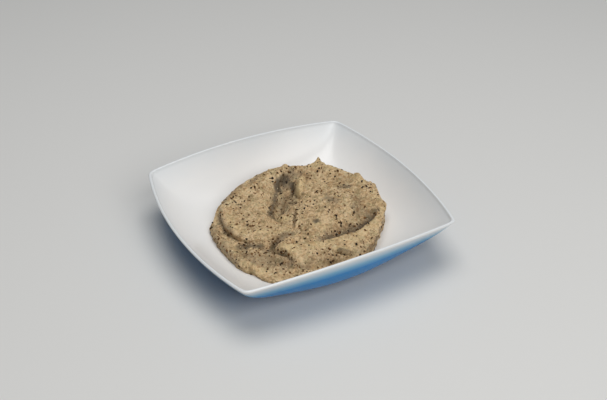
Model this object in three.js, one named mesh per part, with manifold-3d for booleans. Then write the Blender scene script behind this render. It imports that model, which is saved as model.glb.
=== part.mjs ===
// A side of mashed potato in a square glazed bowl.
// Millimetres, +Z up. The origin is the middle of the foot's underside.
// bowl: a shallow square bowl with bowed sides, a rounded lip and a round foot ring.
// mash: the spooned heap that lies in it, with the larger dark flecks fused on.

import * as THREE from 'three';
import { mergeVertices } from 'three/addons/utils/BufferGeometryUtils.js';
import Module from 'manifold-3d';

const wasm = await Module();
wasm.setup();

// ---------------------------------------------------------------- the bowl's sizes

const RIM_HALF = 75;              // centre to the line through two corners
const RIM_BOW = { x: 10.9, y: 5.8 };    // how far the sides bow out past that line
const RIM_WAVE = { x: -1.4, y: 2.7 };   // height of the sides' middles over the corners
const RIM_CORNER_POWER = 60;      // the higher, the sharper the corners in plan
const LOW_CORNER_POWER = 8;       // of the corners at the foot of the wall
const RIM_THICKNESS = 1.8;
const BODY_DEPTH = 29;            // corners down to the body's underside
const BODY_FOOT_RADIUS = 53;      // where the wall has run out flat
const WALL_CURVE_POWER = 2.35;    // the higher, the steeper the wall at the rim
const FLOOR_THICKNESS = 3.8;
const FLOOR_RADIUS = 50;          // flat inside
const FOOT_HEIGHT = 4;
const FOOT_OUTER_RADIUS = 44;
const FOOT_INNER_RADIUS = 39;
const FOOT_RECESS = 1.8;
const FOOT_DRAFT = 1.2;

const CORNER_HEIGHT = BODY_DEPTH + FOOT_HEIGHT;
const FLOOR_HEIGHT = FOOT_HEIGHT + FLOOR_THICKNESS;

const BOWL_SEGMENTS = 64;
const CORNER_CROWDING = 0.72;     // how much closer the segments stand at the corners
const WALL_STEPS = 11;
const LIP_STEPS = 3;

// ---------------------------------------------------------------- the bowl's form

// Radius at an angle of a circular arc that spans the side and bows out past it.
function bowedSide(cosine, half, bow) {
  const arcRadius = (half * half + bow * bow) / (2 * bow);
  const centre = half + bow - arcRadius;
  const along = centre * cosine;
  return along + Math.sqrt(along * along - centre * centre + arcRadius * arcRadius);
}

// Plan radius of the rim, moved inwards by an inset; run gives the corners the rounding that
// they have at that share of the wall's run.
function rimRadius(angle, inset = 0, run = 0) {
  const power = LOW_CORNER_POWER + (RIM_CORNER_POWER - LOW_CORNER_POWER) * (1 - run) ** 3;
  const sideX = bowedSide(Math.abs(Math.cos(angle)), RIM_HALF - inset, RIM_BOW.x);
  const sideY = bowedSide(Math.abs(Math.sin(angle)), RIM_HALF - inset, RIM_BOW.y);
  return (sideX ** -power + sideY ** -power) ** (-1 / power);
}

// Height of the rim over its corners.
function rimWave(angle) {
  const c = Math.abs(Math.cos(angle));
  const s = Math.abs(Math.sin(angle));
  const onX = bowedSide(c, RIM_HALF, RIM_BOW.x) < bowedSide(s, RIM_HALF, RIM_BOW.y);
  const along = Math.min(1, rimRadius(angle) * (onX ? s : c) / RIM_HALF);
  return (onX ? RIM_WAVE.x : RIM_WAVE.y) * (1 - along * along);
}

// Share of the depth that the wall has reached at a share of its run.
function wallDrop(run) {
  return 1 - (1 - run) ** WALL_CURVE_POWER;
}

// A point on the outer wall; run 0 is the rim and 1 the flat underside.
function outerWall(angle, run) {
  const drop = wallDrop(run);
  return {
    radius: THREE.MathUtils.lerp(rimRadius(angle, 0, run), BODY_FOOT_RADIUS, run),
    height: THREE.MathUtils.lerp(CORNER_HEIGHT + rimWave(angle), FOOT_HEIGHT, drop),
  };
}

// The same on the inner wall, down to the flat floor.
function innerWall(angle, run) {
  const drop = wallDrop(run);
  return {
    radius: THREE.MathUtils.lerp(rimRadius(angle, RIM_THICKNESS, run), FLOOR_RADIUS, run),
    height: THREE.MathUtils.lerp(CORNER_HEIGHT + rimWave(angle), FLOOR_HEIGHT, drop),
  };
}

// Height of the inner surface under a point, for what lies in the bowl. The run settles
// within a few passes.
const INNER_HEIGHT_PASSES = 4;
function innerHeight(x, y) {
  const angle = Math.atan2(y, x);
  const out = Math.hypot(x, y);
  let run = 0;
  for (let pass = 0; pass < INNER_HEIGHT_PASSES; pass++) {
    const rim = rimRadius(angle, RIM_THICKNESS, run);
    run = THREE.MathUtils.clamp((rim - out) / (rim - FLOOR_RADIUS), 0, 1);
  }
  return innerWall(angle, run).height;
}

// Half-round lip between the outer and the inner wall.
function lip(angle, turn) {
  const inset = RIM_THICKNESS / 2 * (1 - Math.cos(turn));
  return {
    radius: rimRadius(angle, inset),
    height: CORNER_HEIGHT + rimWave(angle) + RIM_THICKNESS / 2 * Math.sin(turn),
  };
}

// The bowl's section as a list of stations, from the middle of the underside,
// round the foot and the lip, to the middle of the floor.
function bowlStations() {
  const fixed = (radius, height) => () => ({ radius, height });
  const stations = [
    fixed(0, FOOT_RECESS),
    fixed(FOOT_INNER_RADIUS - FOOT_DRAFT, FOOT_RECESS),
    fixed(FOOT_INNER_RADIUS, 0),
    fixed(FOOT_OUTER_RADIUS, 0),
    fixed(FOOT_OUTER_RADIUS + FOOT_DRAFT, FOOT_HEIGHT),
  ];
  for (let i = WALL_STEPS; i >= 0; i--) {
    stations.push(angle => outerWall(angle, i / WALL_STEPS));
  }
  for (let i = 1; i < LIP_STEPS; i++) {
    stations.push(angle => lip(angle, Math.PI * i / LIP_STEPS));
  }
  for (let i = 0; i <= WALL_STEPS; i++) {
    stations.push(angle => innerWall(angle, i / WALL_STEPS));
  }
  stations.push(fixed(0, FLOOR_HEIGHT));
  return stations;
}

function makeBowl() {
  const stations = bowlStations();
  const middle = stations.map(station => station(0));
  const section = middle.map(point => new THREE.Vector2(point.radius, point.height));
  const geometry = new THREE.LatheGeometry(section, BOWL_SEGMENTS);
  const position = geometry.attributes.position;
  for (let segment = 0; segment <= BOWL_SEGMENTS; segment++) {
    const turn = 2 * Math.PI * (segment % BOWL_SEGMENTS) / BOWL_SEGMENTS;
    const angle = turn + CORNER_CROWDING * Math.sin(4 * turn) / 4;
    stations.forEach((station, row) => {
      const { radius, height } = station(angle);
      const index = segment * stations.length + row;
      position.setXYZ(index, radius * Math.cos(angle), radius * Math.sin(angle), height);
    });
  }
  return closed(geometry);
}

// ---------------------------------------------------------------- the mash's sizes

const MASH_GAP = 0.5;             // clear of the glaze all over
const MASH_CENTRE = { x: 2, y: -2 };
const MASH_HEIGHT = 8.6;          // of the plain heap, before the spoon marks
const MASH_CROWN = 1.2;           // how much lower the plain heap is towards its side
const MASH_SIDE_POWER = 3;        // the higher, the squarer the plain heap's side
const MASH_WALL = 25;             // the steepest that the spoon marks may leave the side
const MASH_WALL_POWER = 5;
const WALL_BLEND = 3;
const MASH_TUCK = { depth: 1.3, start: 0.88 };  // how far the side turns under at the glaze
const FOOT_FADE = 0.4;            // share of the side's height over which lumps fade in
// Reach of the heap's foot from its centre, each 15 degrees, from +X anticlockwise.
const MASH_REACH = [
  60, 60, 59, 59, 58, 57, 57, 57, 58, 59, 61, 61,
  60, 60, 62, 64, 62, 59, 57, 56, 55, 55, 57, 59,
];
const REACH_UNEVEN = { depth: 2.2, length: 9, seed: 35 };   // of the whole side
const SIDE_UNEVEN = { depth: 1.6, length: 5, seed: 36 };    // of lumps on the side
const SIDE_START = 0.8;           // share of the way out where the side becomes uneven

const MASH_RINGS = 34;            // each ring has six points more than the one inside it
const UNDERSIDE_ROWS = 2;
const UNDERSIDE_FLAT_RADIUS = 46;

// What the spoon did, in order, each along a path from above with a height at every point.
// A rope lays a round-topped roll whose crest is at the path's height over the table, and a
// scoop cuts a round-bottomed groove whose lowest line is there. Their sides have run down
// or up by the depths at the widths, to the left and to the right of the path. A fold lifts
// the paste by the path's height on its left and drops it as far on its right. A ridge only
// lifts it, or cuts a crease where the height is below 0.
const SPOON_MARKS = [
  { name: 'back ridge', form: 'rope', widths: [9, 14], depths: [15, 6], blend: 1.5,
    path: [[-45, 20, 16.5], [-38, 31, 18.5], [-28, 40, 21], [-12, 45.5, 24], [9, 47.5, 26],
      [26, 41, 26.5], [40, 33, 27.5], [49, 20, 26.5], [54, 8, 26.5], [54.5, -5, 25],
      [53, -17, 23], [51, -28, 19.5]] },
  { name: 'terrace', form: 'rope', widths: [5, 22], depths: [2, 3], blend: 1.5,
    path: [[-6, 37, 20.5], [-14, 26, 19.3], [-20, 16, 18.7], [-22, 6, 18], [-20, -4, 17.5],
      [-15, -11, 16.5]] },
  { name: 'hollow', form: 'scoop', widths: [15, 5], depths: [5.5, 8], blend: 0.3,
    path: [[13, 37, 20], [8, 33.5, 17], [2, 27, 14.5], [-4, 18, 13.5], [-9.5, 10, 12.8],
      [-11, 4, 13], [-9, -4, 15]] },
  { name: 'edge of the dome', form: 'rope', widths: [24, 5], depths: [2, 8.5], blend: 0.3,
    path: [[26, 27, 24], [16.5, 19, 24.2], [10, 8.5, 23], [4.5, -2, 22], [-2, -12, 19],
      [-6, -19, 17]] },
  { name: 'top of the dome', form: 'rope', widths: [14, 25], depths: [4, 5], blend: 2,
    path: [[12, -5, 23.5], [22, -2, 25.5], [33, -1, 26.7], [45, 2, 26.3]] },
  { name: 'pit beside the nub', form: 'scoop', widths: [3.5, 6], depths: [8, 3], blend: 0.5,
    path: [[16.5, 36, 22], [13.5, 31.5, 18], [10.5, 26.5, 16], [7, 22, 16.5]] },
  { name: 'shoulder of the dome', form: 'rope', widths: [8, 8], depths: [2, 4.5], blend: 1.5,
    path: [[10.5, 18, 20], [6.5, 12, 20.8], [2.5, 5, 20], [0, 0.5, 18]] },
  { name: 'notch under the nub', form: 'ridge', widths: [3, 2.5],
    path: [[8, 17.5, 0], [11, 14.5, -2.2], [15.5, 12.5, 0]] },
  { name: 'crease by the dome', form: 'ridge', widths: [1.5, 1.5],
    path: [[1, 3.5, 0], [-0.8, 0.4, -1.5], [-4, -4.5, -2], [-7.8, -10, -1.5], [-10, -13, 0]] },
  { name: 'groove behind the dome', form: 'ridge', widths: [4, 5],
    path: [[18, 34, 0], [25, 31, -1.8], [34, 27, -1.8], [43, 18, -1.5], [48, 9, 0]] },
  { name: 'nub', form: 'rope', widths: [2.8, 2.8], depths: [2.4, 3], blend: 0.3,
    path: [[22, 31.5, 25.3], [18.5, 26.5, 27], [15.3, 21.8, 27.5], [13.2, 18.8, 27]] },
  { name: 'valley', form: 'scoop', widths: [9, 4], depths: [8, 9], blend: 0.5,
    path: [[-2, -30, 18], [8, -31, 15], [17, -32, 13.5], [26, -32, 13], [34, -29.5, 13.5],
      [41, -27, 14.5], [45, -26, 17.5], [48.5, -25, 22]] },
  { name: 'front roll', form: 'rope', widths: [4, 15], depths: [8, 6], blend: 0.3,
    path: [[-23, -27.5, 19.5], [-12, -32, 19.5], [-1.3, -34.5, 19.5], [6.3, -37, 20],
      [15.5, -37.5, 20.3], [23.2, -38.3, 20.8], [30.6, -36.5, 20.8], [37.4, -34, 20.6],
      [45, -30, 20], [51, -26, 20.5]] },
  { name: 'edge of the terrace', form: 'fold', widths: [14, 9],
    path: [[-38, 38, 0], [-42, 28, 1.8], [-45, 14, 2.2], [-44.5, 5, 2], [-41.5, -4, 1.6],
      [-35, -10, 1], [-25, -13.5, 0.8], [-16, -13.5, 0.9], [-9, -17, 0]] },
  { name: 'outer ridge', form: 'rope', widths: [4, 4.5], depths: [4, 5], blend: 0.4,
    path: [[-51, 18, 13.5], [-54, 8, 14.5], [-52.5, -1, 16], [-53, -9, 16.4], [-52, -20, 16],
      [-49, -29, 15.3], [-44, -36, 14]] },
  { name: 'channel', form: 'ridge', widths: [3, 2.2],
    path: [[-17, -16, 0], [-23, -16.5, -2.5], [-29, -20.5, -4], [-30.5, -27, -4.5],
      [-28, -32.5, -4], [-25, -37, -3], [-22, -41.5, 0]] },
  { name: 'lip of the channel', form: 'ridge', widths: [4, 3],
    path: [[-33, -22, 0], [-35, -28, 1.5], [-32, -35, 2], [-28, -40, 1.5], [-24, -45, 0]] },
  { name: 'front cleft', form: 'ridge', widths: [3, 4],
    path: [[-24, -45, 0], [-16, -48, -3], [-6, -50, -4], [2, -53, -3.5], [10, -56, 0]] },
  { name: 'ledge', form: 'fold', widths: [5, 3],
    path: [[0, -44.5, 0], [4, -46.5, 1.6], [9, -49, 2], [13, -50.5, 1.4], [17, -51.5, 0]] },
];

// Single lumps: place from above, radius and rise.
const LUMPS = [
  { name: 'lump in the pocket', at: [3.6, 29.2], radius: 3.2, rise: 2.5 },
  { name: 'shelf in the hollow', at: [-8, 5.4], radius: 4.5, rise: 1.8 },
  { name: 'crumb in the hollow', at: [-6, 8], radius: 2.5, rise: 1 },
  { name: 'thin peak', at: [36.5, 35.5], radius: 7, rise: 3 },
  { name: 'tip of the thin peak', at: [38, 37], radius: 2.4, rise: 3 },
  { name: 'left lobe', at: [-41, 8], radius: 7, rise: 1.2 },
  { name: 'back bump', at: [16, 46], radius: 3.5, rise: 2.5 },
  { name: 'second back bump', at: [4, 47], radius: 2, rise: 1.6 },
  { name: 'left bump', at: [-24, 42.5], radius: 2.5, rise: 1 },
  { name: 'bump before the right one', at: [46, 22], radius: 4, rise: 1.5 },
  { name: 'right bump', at: [53, 9], radius: 5, rise: 3 },
  { name: 'right shoulder', at: [55, -6], radius: 5, rise: 1.5 },
  { name: 'right lobe', at: [52, -20], radius: 4.5, rise: 3 },
  { name: 'knob', at: [-25, -28.5], radius: 5, rise: 2 },
  { name: 'side of the knob', at: [-21, -31.5], radius: 6, rise: 1 },
];

// Uneven paste: height and length of each noise, and how far it is folded into round lumps
// with creases between them. The ground that the lumps lie in is warped, and smooth and rough
// patches come a rough length apart.
const LUMPINESS = [
  { height: 0.9, length: 15, folded: 0, seed: 5 },
  { height: 0.9, length: 8, folded: 0.5, seed: 6 },
  { height: 0.9, length: 4.5, folded: 0.4, seed: 7 },
];
const FOLDED = { gain: 1.6, softness: 0.045, drop: 0.35 };
const LUMP_WARP = { depth: 3, length: 11, seeds: [4, 3] };
const ROUGH = { length: 17, seed: 14, low: -0.35, high: 0.45, least: 0.5, most: 1.35 };
const FOLD_SOFTNESS = 0.6;        // half the width of a fold's edge

const FLECK_COUNT = 60;
const FLECK_HALF_LENGTH = { min: 0.8, max: 1.25 };
const FLECK_WIDTH_SHARE = 0.72;
const FLECK_HALF_THICKNESS = 0.5;
const FLECK_ZONE = { min: 0.05, max: 0.8 };   // share of the way out to the heap's foot
const FLECK_JITTER = 0.5;         // radians
const FLECK_LEVELLING = 0.6;      // a chip lies level with the skin this many cells round it
const FLECK_SEED = 7;

// ---------------------------------------------------------------- the mash's form

const SAMPLES_PER_PATH = 36;
const marks = SPOON_MARKS.map(mark => {
  const corners = mark.path.map(point => new THREE.Vector3(...point));
  const curve = new THREE.CatmullRomCurve3(corners, false, 'centripetal');
  return { ...mark, samples: curve.getSpacedPoints(SAMPLES_PER_PATH) };
});

// Distance from a sampled path, the share of it that lies to the left, and the path's
// height at its nearest point.
function offset(samples, x, y) {
  let nearest = { distance: Infinity, lean: 0, height: 0 };
  for (let i = 0; i + 1 < samples.length; i++) {
    const a = samples[i];
    const b = samples[i + 1];
    const dx = b.x - a.x;
    const dy = b.y - a.y;
    const length = Math.hypot(dx, dy);
    const along = THREE.MathUtils.clamp(((x - a.x) * dx + (y - a.y) * dy) / length ** 2, 0, 1);
    const distance = Math.hypot(x - a.x - along * dx, y - a.y - along * dy);
    if (distance < nearest.distance) {
      const left = (dx * (y - a.y) - dy * (x - a.x)) / length;
      const height = THREE.MathUtils.lerp(a.z, b.z, along);
      nearest = { distance, lean: distance > 0 ? left / distance : 0, height };
    }
  }
  return nearest;
}

function swell(share) {
  return share < 1 ? (1 - share * share) ** 2 : 0;
}

function smoothMax(a, b, softness) {
  const near = Math.max(0, 1 - Math.abs(a - b) / softness);
  return Math.max(a, b) + near * near * softness / 4;
}

function smoothMin(a, b, softness) {
  return -smoothMax(-a, -b, softness);
}

// The skin's height after each form of spoon mark. Sag is how far the mark's side has run
// down or up there, and share how far out it is.
const FORMS = {
  rope: (height, { line, sag, blend }) => smoothMax(height, line - sag, blend),
  scoop: (height, { line, sag, blend }) => smoothMin(height, line + sag, blend),
  ridge: (height, { line, share }) => height + line * swell(share),
  fold: (height, { line, share, across }) => (
    height + line * Math.tanh(across / FOLD_SOFTNESS) * swell(share)),
};

function press(mark, x, y, height) {
  const { distance, lean, height: line } = offset(mark.samples, x, y);
  const between = ([left, right]) => THREE.MathUtils.lerp(right, left, (1 + lean) / 2);
  const share = distance / between(mark.widths);
  const sag = between(mark.depths ?? [0, 0]) * share * share;
  const across = distance * lean;
  return FORMS[mark.form](height, { line, sag, share, across, blend: mark.blend });
}

// Smooth random relief between about -0.7 and 0.7, with lumps of the given length: at each
// corner of a square grid the ground leans in a direction drawn from the corner's own number.
const DRAW = { column: 12.9898, row: 78.233, seed: 37.719, spread: 43758.5453 };
function pasteNoise(x, y, length, seed) {
  const column = Math.floor(x / length);
  const row = Math.floor(y / length);
  const right = x / length - column;
  const top = y / length - row;
  let total = 0;
  for (const i of [0, 1]) {
    for (const j of [0, 1]) {
      const number = DRAW.column * (column + i) + DRAW.row * (row + j) + DRAW.seed * seed;
      const draw = DRAW.spread * Math.sin(number);
      const lean = 2 * Math.PI * (draw - Math.floor(draw));
      const slope = Math.cos(lean) * (right - i) + Math.sin(lean) * (top - j);
      const fade = THREE.MathUtils.smoothstep(1 - Math.abs(right - i), 0, 1)
        * THREE.MathUtils.smoothstep(1 - Math.abs(top - j), 0, 1);
      total += slope * fade;
    }
  }
  return total;
}

function lumpiness(x, y) {
  const [warpX, warpY] = LUMP_WARP.seeds.map(seed => pasteNoise(x, y, LUMP_WARP.length, seed));
  const warpedX = x + LUMP_WARP.depth * warpX;
  const warpedY = y + LUMP_WARP.depth * warpY;
  let rise = 0;
  for (const { height, length, folded, seed } of LUMPINESS) {
    const noise = pasteNoise(warpedX, warpedY, length, seed);
    const fold = FOLDED.gain * Math.hypot(noise, FOLDED.softness) - FOLDED.drop;
    rise += height * THREE.MathUtils.lerp(noise, fold, folded);
  }
  const patch = pasteNoise(x, y, ROUGH.length, ROUGH.seed);
  const rough = THREE.MathUtils.smoothstep(patch, ROUGH.low, ROUGH.high);
  return rise * THREE.MathUtils.lerp(ROUGH.least, ROUGH.most, rough);
}

// Reach of the heap's foot at an angle, smooth through the named directions.
function mashReach(angle) {
  const count = MASH_REACH.length;
  const place = angle / (2 * Math.PI) * count + 2 * count;
  const from = Math.floor(place);
  const t = place - from;
  const [a, b, c, d] = [-1, 0, 1, 2].map(step => MASH_REACH[(from + step) % count]);
  return b + t * (c - a + t * (2 * a - 5 * b + 4 * c - d + t * (3 * (b - c) + d - a))) / 2;
}

// How far the side stands out of that even form, at a height up the side.
function raggedness(angle, up) {
  const [x, y] = [Math.cos(angle), Math.sin(angle)].map(part => part * MASH_REACH[0]);
  const broad = pasteNoise(x, y, REACH_UNEVEN.length, REACH_UNEVEN.seed);
  const fine = pasteNoise(x + up, y - up / 2, SIDE_UNEVEN.length, SIDE_UNEVEN.seed);
  return REACH_UNEVEN.depth * broad + SIDE_UNEVEN.depth * fine;
}

// The heap's section in even steps, as shares of its plan and its height.
const SIDE_STEPS = 400;
const side = [{ run: 0, plan: 0, share: 1 }];
for (let i = 1; i <= SIDE_STEPS; i++) {
  const turn = Math.PI / 2 * i / SIDE_STEPS;
  const plan = Math.sin(turn) ** (2 / MASH_SIDE_POWER);
  const share = i < SIDE_STEPS ? Math.cos(turn) ** (2 / MASH_SIDE_POWER) : 0;
  const last = side[i - 1];
  const rise = (last.share - share) * MASH_WALL / 2 / MASH_REACH[0];
  side.push({ run: last.run + Math.hypot(plan - last.plan, rise), plan, share });
}

function sideAt(out) {
  const run = out * side[SIDE_STEPS].run;
  const ahead = Math.max(1, side.findIndex(step => step.run >= run));
  const [a, b] = [side[ahead - 1], side[ahead]];
  const t = (run - a.run) / (b.run - a.run);
  return {
    plan: THREE.MathUtils.lerp(a.plan, b.plan, t),
    share: THREE.MathUtils.lerp(a.share, b.share, t),
  };
}

// A point of the heap's upper skin; out runs from 0 in the middle to 1 at the foot.
function mashSkin(angle, out) {
  const { plan, share } = out < 1 ? sideAt(out) : { plan: 1, share: 0 };
  const ragged = raggedness(angle, MASH_WALL * share)
    * THREE.MathUtils.smoothstep(plan, SIDE_START, 1);
  const tuck = MASH_TUCK.depth * THREE.MathUtils.smoothstep(out, MASH_TUCK.start, 1);
  const reach = mashReach(angle) * plan + ragged - tuck;
  const x = MASH_CENTRE.x + reach * Math.cos(angle);
  const y = MASH_CENTRE.y + reach * Math.sin(angle);
  const floor = innerHeight(x, y) + MASH_GAP;
  let top = floor + (MASH_HEIGHT - MASH_CROWN * plan * plan) * share;
  for (const mark of marks) {
    top = press(mark, x, y, top);
  }
  let rise = lumpiness(x, y);
  for (const lump of LUMPS) {
    rise += lump.rise * swell(Math.hypot(x - lump.at[0], y - lump.at[1]) / lump.radius);
  }
  const wall = floor + MASH_WALL * (1 - plan ** MASH_WALL_POWER) ** (1 / MASH_WALL_POWER);
  top = smoothMin(top, wall, WALL_BLEND)
    + rise * THREE.MathUtils.smoothstep(share, 0, FOOT_FADE);
  return new THREE.Vector3(x, y, Math.max(floor, top));
}

function mashCore() {
  const vertices = [mashSkin(0, 0)];
  const faces = [];
  const ringStart = ring => 1 + 3 * ring * (ring - 1);
  for (let ring = 1; ring <= MASH_RINGS; ring++) {
    for (let i = 0; i < 6 * ring; i++) {
      vertices.push(mashSkin(2 * Math.PI * i / (6 * ring), ring / MASH_RINGS));
    }
  }
  for (let ring = 1; ring <= MASH_RINGS; ring++) {
    const outer = i => ringStart(ring) + i % (6 * ring);
    const inner = i => (ring === 1 ? 0 : ringStart(ring - 1) + i % (6 * (ring - 1)));
    for (let sector = 0; sector < 6; sector++) {
      for (let i = 0; i < ring; i++) {
        const o = sector * ring + i;
        const n = sector * (ring - 1) + i;
        faces.push([outer(o), outer(o + 1), inner(n)]);
        if (i + 1 < ring) {
          faces.push([outer(o + 1), inner(n + 1), inner(n)]);
        }
      }
    }
  }

  const last = ringStart(MASH_RINGS);
  let rim = Array.from({ length: 6 * MASH_RINGS }, (_, i) => last + i);
  const foot = rim.map(index => vertices[index].clone());
  for (let row = 1; row <= UNDERSIDE_ROWS; row++) {
    const next = foot.map(point => {
      const flat = UNDERSIDE_FLAT_RADIUS / Math.hypot(point.x, point.y);
      const scale = THREE.MathUtils.lerp(1, flat, row / UNDERSIDE_ROWS);
      const x = point.x * scale;
      const y = point.y * scale;
      vertices.push(new THREE.Vector3(x, y, innerHeight(x, y) + MASH_GAP));
      return vertices.length - 1;
    });
    next.forEach((index, i) => {
      const j = (i + 1) % next.length;
      faces.push([rim[i], index, rim[j]], [index, next[j], rim[j]]);
    });
    rim = next;
  }
  const flat = rim.map(index => new THREE.Vector2(vertices[index].x, vertices[index].y));
  for (const [a, b, c] of THREE.ShapeUtils.triangulateShape(flat, [])) {
    faces.push([rim[a], rim[c], rim[b]]);
  }

  const geometry = new THREE.BufferGeometry().setFromPoints(vertices);
  geometry.setIndex(faces.flat());
  return geometry;
}

// Repeatable draw between 0 and 1.
const DRAW_FACTOR = 16807;
const DRAW_MODULUS = 2147483647;
function seededRandom(seed) {
  let state = seed;
  return () => {
    state = (state * DRAW_FACTOR) % DRAW_MODULUS;
    return state / DRAW_MODULUS;
  };
}

// One flat chip that lies half sunk in the skin, round one of the skin's own points.
function fleck(random, turn, out) {
  const ring = Math.max(1, Math.round(out * MASH_RINGS));
  const step = 2 * Math.PI / (6 * ring);
  const angle = Math.round(turn / step) * step;
  const at = mashSkin(angle, ring / MASH_RINGS);
  const outward = mashSkin(angle, (ring + FLECK_LEVELLING) / MASH_RINGS).sub(at);
  const around = mashSkin(angle + FLECK_LEVELLING * step, ring / MASH_RINGS).sub(at);
  const normal = outward.cross(around).normalize();
  const lie = new THREE.Quaternion().setFromUnitVectors(new THREE.Vector3(0, 0, 1), normal);
  const spin = new THREE.Quaternion().setFromAxisAngle(normal, 2 * Math.PI * random());
  const length = THREE.MathUtils.lerp(FLECK_HALF_LENGTH.min, FLECK_HALF_LENGTH.max, random());
  const size = new THREE.Vector3(length, length * FLECK_WIDTH_SHARE, FLECK_HALF_THICKNESS);
  const place = new THREE.Matrix4().compose(at, spin.multiply(lie), size);
  return closed(new THREE.OctahedronGeometry(1, 0).applyMatrix4(place));
}

// The heap with its flecks, spread evenly on a sunflower spiral with a small jitter.
function makeMash() {
  const random = seededRandom(FLECK_SEED);
  const goldenAngle = Math.PI * (3 - Math.sqrt(5));
  let heap = solid(mashCore());
  for (let i = 0; i < FLECK_COUNT; i++) {
    const out = THREE.MathUtils.lerp(FLECK_ZONE.min, FLECK_ZONE.max, Math.sqrt(i / FLECK_COUNT));
    const turn = i * goldenAngle + FLECK_JITTER * (random() - 0.5);
    heap = heap.add(solid(fleck(random, turn, out)));
  }
  return fromSolid(heap);
}

// ---------------------------------------------------------------- helpers

function solid(geometry) {
  const vertProperties = new Float32Array(geometry.attributes.position.array);
  const triVerts = new Uint32Array(geometry.index.array);
  return new wasm.Manifold(new wasm.Mesh({ numProp: 3, vertProperties, triVerts }));
}

function fromSolid(body) {
  const mesh = body.getMesh();
  const geometry = new THREE.BufferGeometry();
  geometry.setAttribute('position', new THREE.BufferAttribute(mesh.vertProperties, 3));
  geometry.setIndex(new THREE.BufferAttribute(mesh.triVerts, 1));
  return geometry;
}

// Shared vertices merged, so that the mesh is one closed body.
const MERGE_DISTANCE = 1e-4;
function closed(geometry) {
  geometry.deleteAttribute('normal');
  geometry.deleteAttribute('uv');
  const merged = mergeVertices(geometry, MERGE_DISTANCE);
  const index = merged.index.array;
  const kept = [];
  for (let i = 0; i < index.length; i += 3) {
    const [a, b, c] = [index[i], index[i + 1], index[i + 2]];
    if (a !== b && b !== c && c !== a) {
      kept.push(a, b, c);
    }
  }
  merged.setIndex(kept);
  return merged;
}

function named(name, geometry, material) {
  geometry.computeVertexNormals();
  const mesh = new THREE.Mesh(geometry, material);
  mesh.name = name;
  return mesh;
}

// ---------------------------------------------------------------- the model

const glaze = new THREE.MeshStandardMaterial({ color: '#dfe1e2', roughness: 0.25, metalness: 0 });
const potato = new THREE.MeshStandardMaterial({ color: '#b1956e', roughness: 0.6, metalness: 0 });

const model = new THREE.Group();
model.add(named('bowl', makeBowl(), glaze));
model.add(named('mash', makeMash(), potato));

export default model;
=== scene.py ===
"""Mashed potato side: a shallow square bowl with a spooned heap of speckled mashed potato.

Lengths in the tables below are millimetres and are turned into metres where a mesh is made.
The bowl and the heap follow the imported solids, and take their places.
"""

import math
from collections import namedtuple

import bpy
import numpy as np
from bpy.props import FloatProperty, FloatVectorProperty, IntProperty, PointerProperty
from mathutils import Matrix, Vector


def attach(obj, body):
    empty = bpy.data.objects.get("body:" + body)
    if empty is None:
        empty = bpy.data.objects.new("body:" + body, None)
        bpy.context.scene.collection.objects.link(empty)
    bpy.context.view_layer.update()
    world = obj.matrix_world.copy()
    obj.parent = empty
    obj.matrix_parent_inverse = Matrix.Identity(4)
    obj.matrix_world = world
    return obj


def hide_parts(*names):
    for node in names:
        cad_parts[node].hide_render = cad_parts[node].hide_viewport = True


bl_info = {
    "name": "Mashed Potato Side",
    "version": (1, 0, 0),
    "blender": (4, 5, 0),
    "location": "View3D > Sidebar > Potato",
    "description": "Builds a spooned heap of speckled mashed potato in a square glazed bowl",
    "category": "Object",
}

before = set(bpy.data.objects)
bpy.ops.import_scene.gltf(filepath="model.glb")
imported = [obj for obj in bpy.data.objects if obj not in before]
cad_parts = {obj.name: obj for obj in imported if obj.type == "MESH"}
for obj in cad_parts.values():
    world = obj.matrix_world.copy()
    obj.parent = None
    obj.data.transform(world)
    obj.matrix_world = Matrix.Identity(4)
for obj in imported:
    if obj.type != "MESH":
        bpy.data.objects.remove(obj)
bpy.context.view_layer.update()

MM = 0.001
BODY = "root"


def linear(colour):
    """An sRGB hex colour as linear red, green and blue."""
    channels = [int(colour[i:i + 2], 16) / 255 for i in (1, 3, 5)]
    return tuple(c / 12.92 if c <= 0.04045 else ((c + 0.055) / 1.055) ** 2.4 for c in channels)


# ---- the bowl's form

RIM_HALF = 75  # centre to the line through two corners
RIM_BOW_X, RIM_BOW_Y = 10.9, 5.8  # how far the sides bow out past that line
RIM_WAVE_X, RIM_WAVE_Y = -1.4, 2.7  # height of the sides' middles over the corners
RIM_CORNER_POWER = 60  # the higher, the sharper the corners in plan
LOW_CORNER_POWER = 8  # of the corners at the foot of the wall
CORNER_FADE_POWER = 3  # the higher, the sooner the corners round on the way down
RIM_THICKNESS = 1.8
BODY_DEPTH = 29
BODY_FOOT_RADIUS = 53
WALL_CURVE_POWER = 2.35
FLOOR_THICKNESS = 3.8
FLOOR_RADIUS = 50
FOOT_HEIGHT = 4
FOOT_OUTER_RADIUS = 44
FOOT_INNER_RADIUS = 39
FOOT_RECESS = 1.8
FOOT_DRAFT = 1.2
FOOT_EDGE = 0.7  # radius of the foot ring's rounded edges
CORNER_HEIGHT = BODY_DEPTH + FOOT_HEIGHT
FLOOR_HEIGHT = FOOT_HEIGHT + FLOOR_THICKNESS

BOWL_SEGMENTS = 288
CORNER_CROWDING = 0.72  # how much closer the segments lie at the corners
WALL_STEPS = 44
LIP_STEPS = 10
FLOOR_STEPS = 6
EDGE_STEPS = 4
INNER_HEIGHT_PASSES = 4
BARE_FACE_TOP = 0.2  # share of the painted blue reflection on the lip, fading a little way down the inside
LIP_TINT = 0.035  # depth of colour on the lip, as far down as the spray carried
LIP_TINT_POWER = 4  # the higher, the sooner that tint is gone inside


def bowed_side(cosine, half, bow):
    """Radius at an angle of a circular arc that spans a side and bows out past it."""
    arc_radius = (half * half + bow * bow) / (2 * bow)
    centre = half + bow - arc_radius
    along = centre * cosine
    return along + np.sqrt(along * along - centre * centre + arc_radius * arc_radius)


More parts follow.
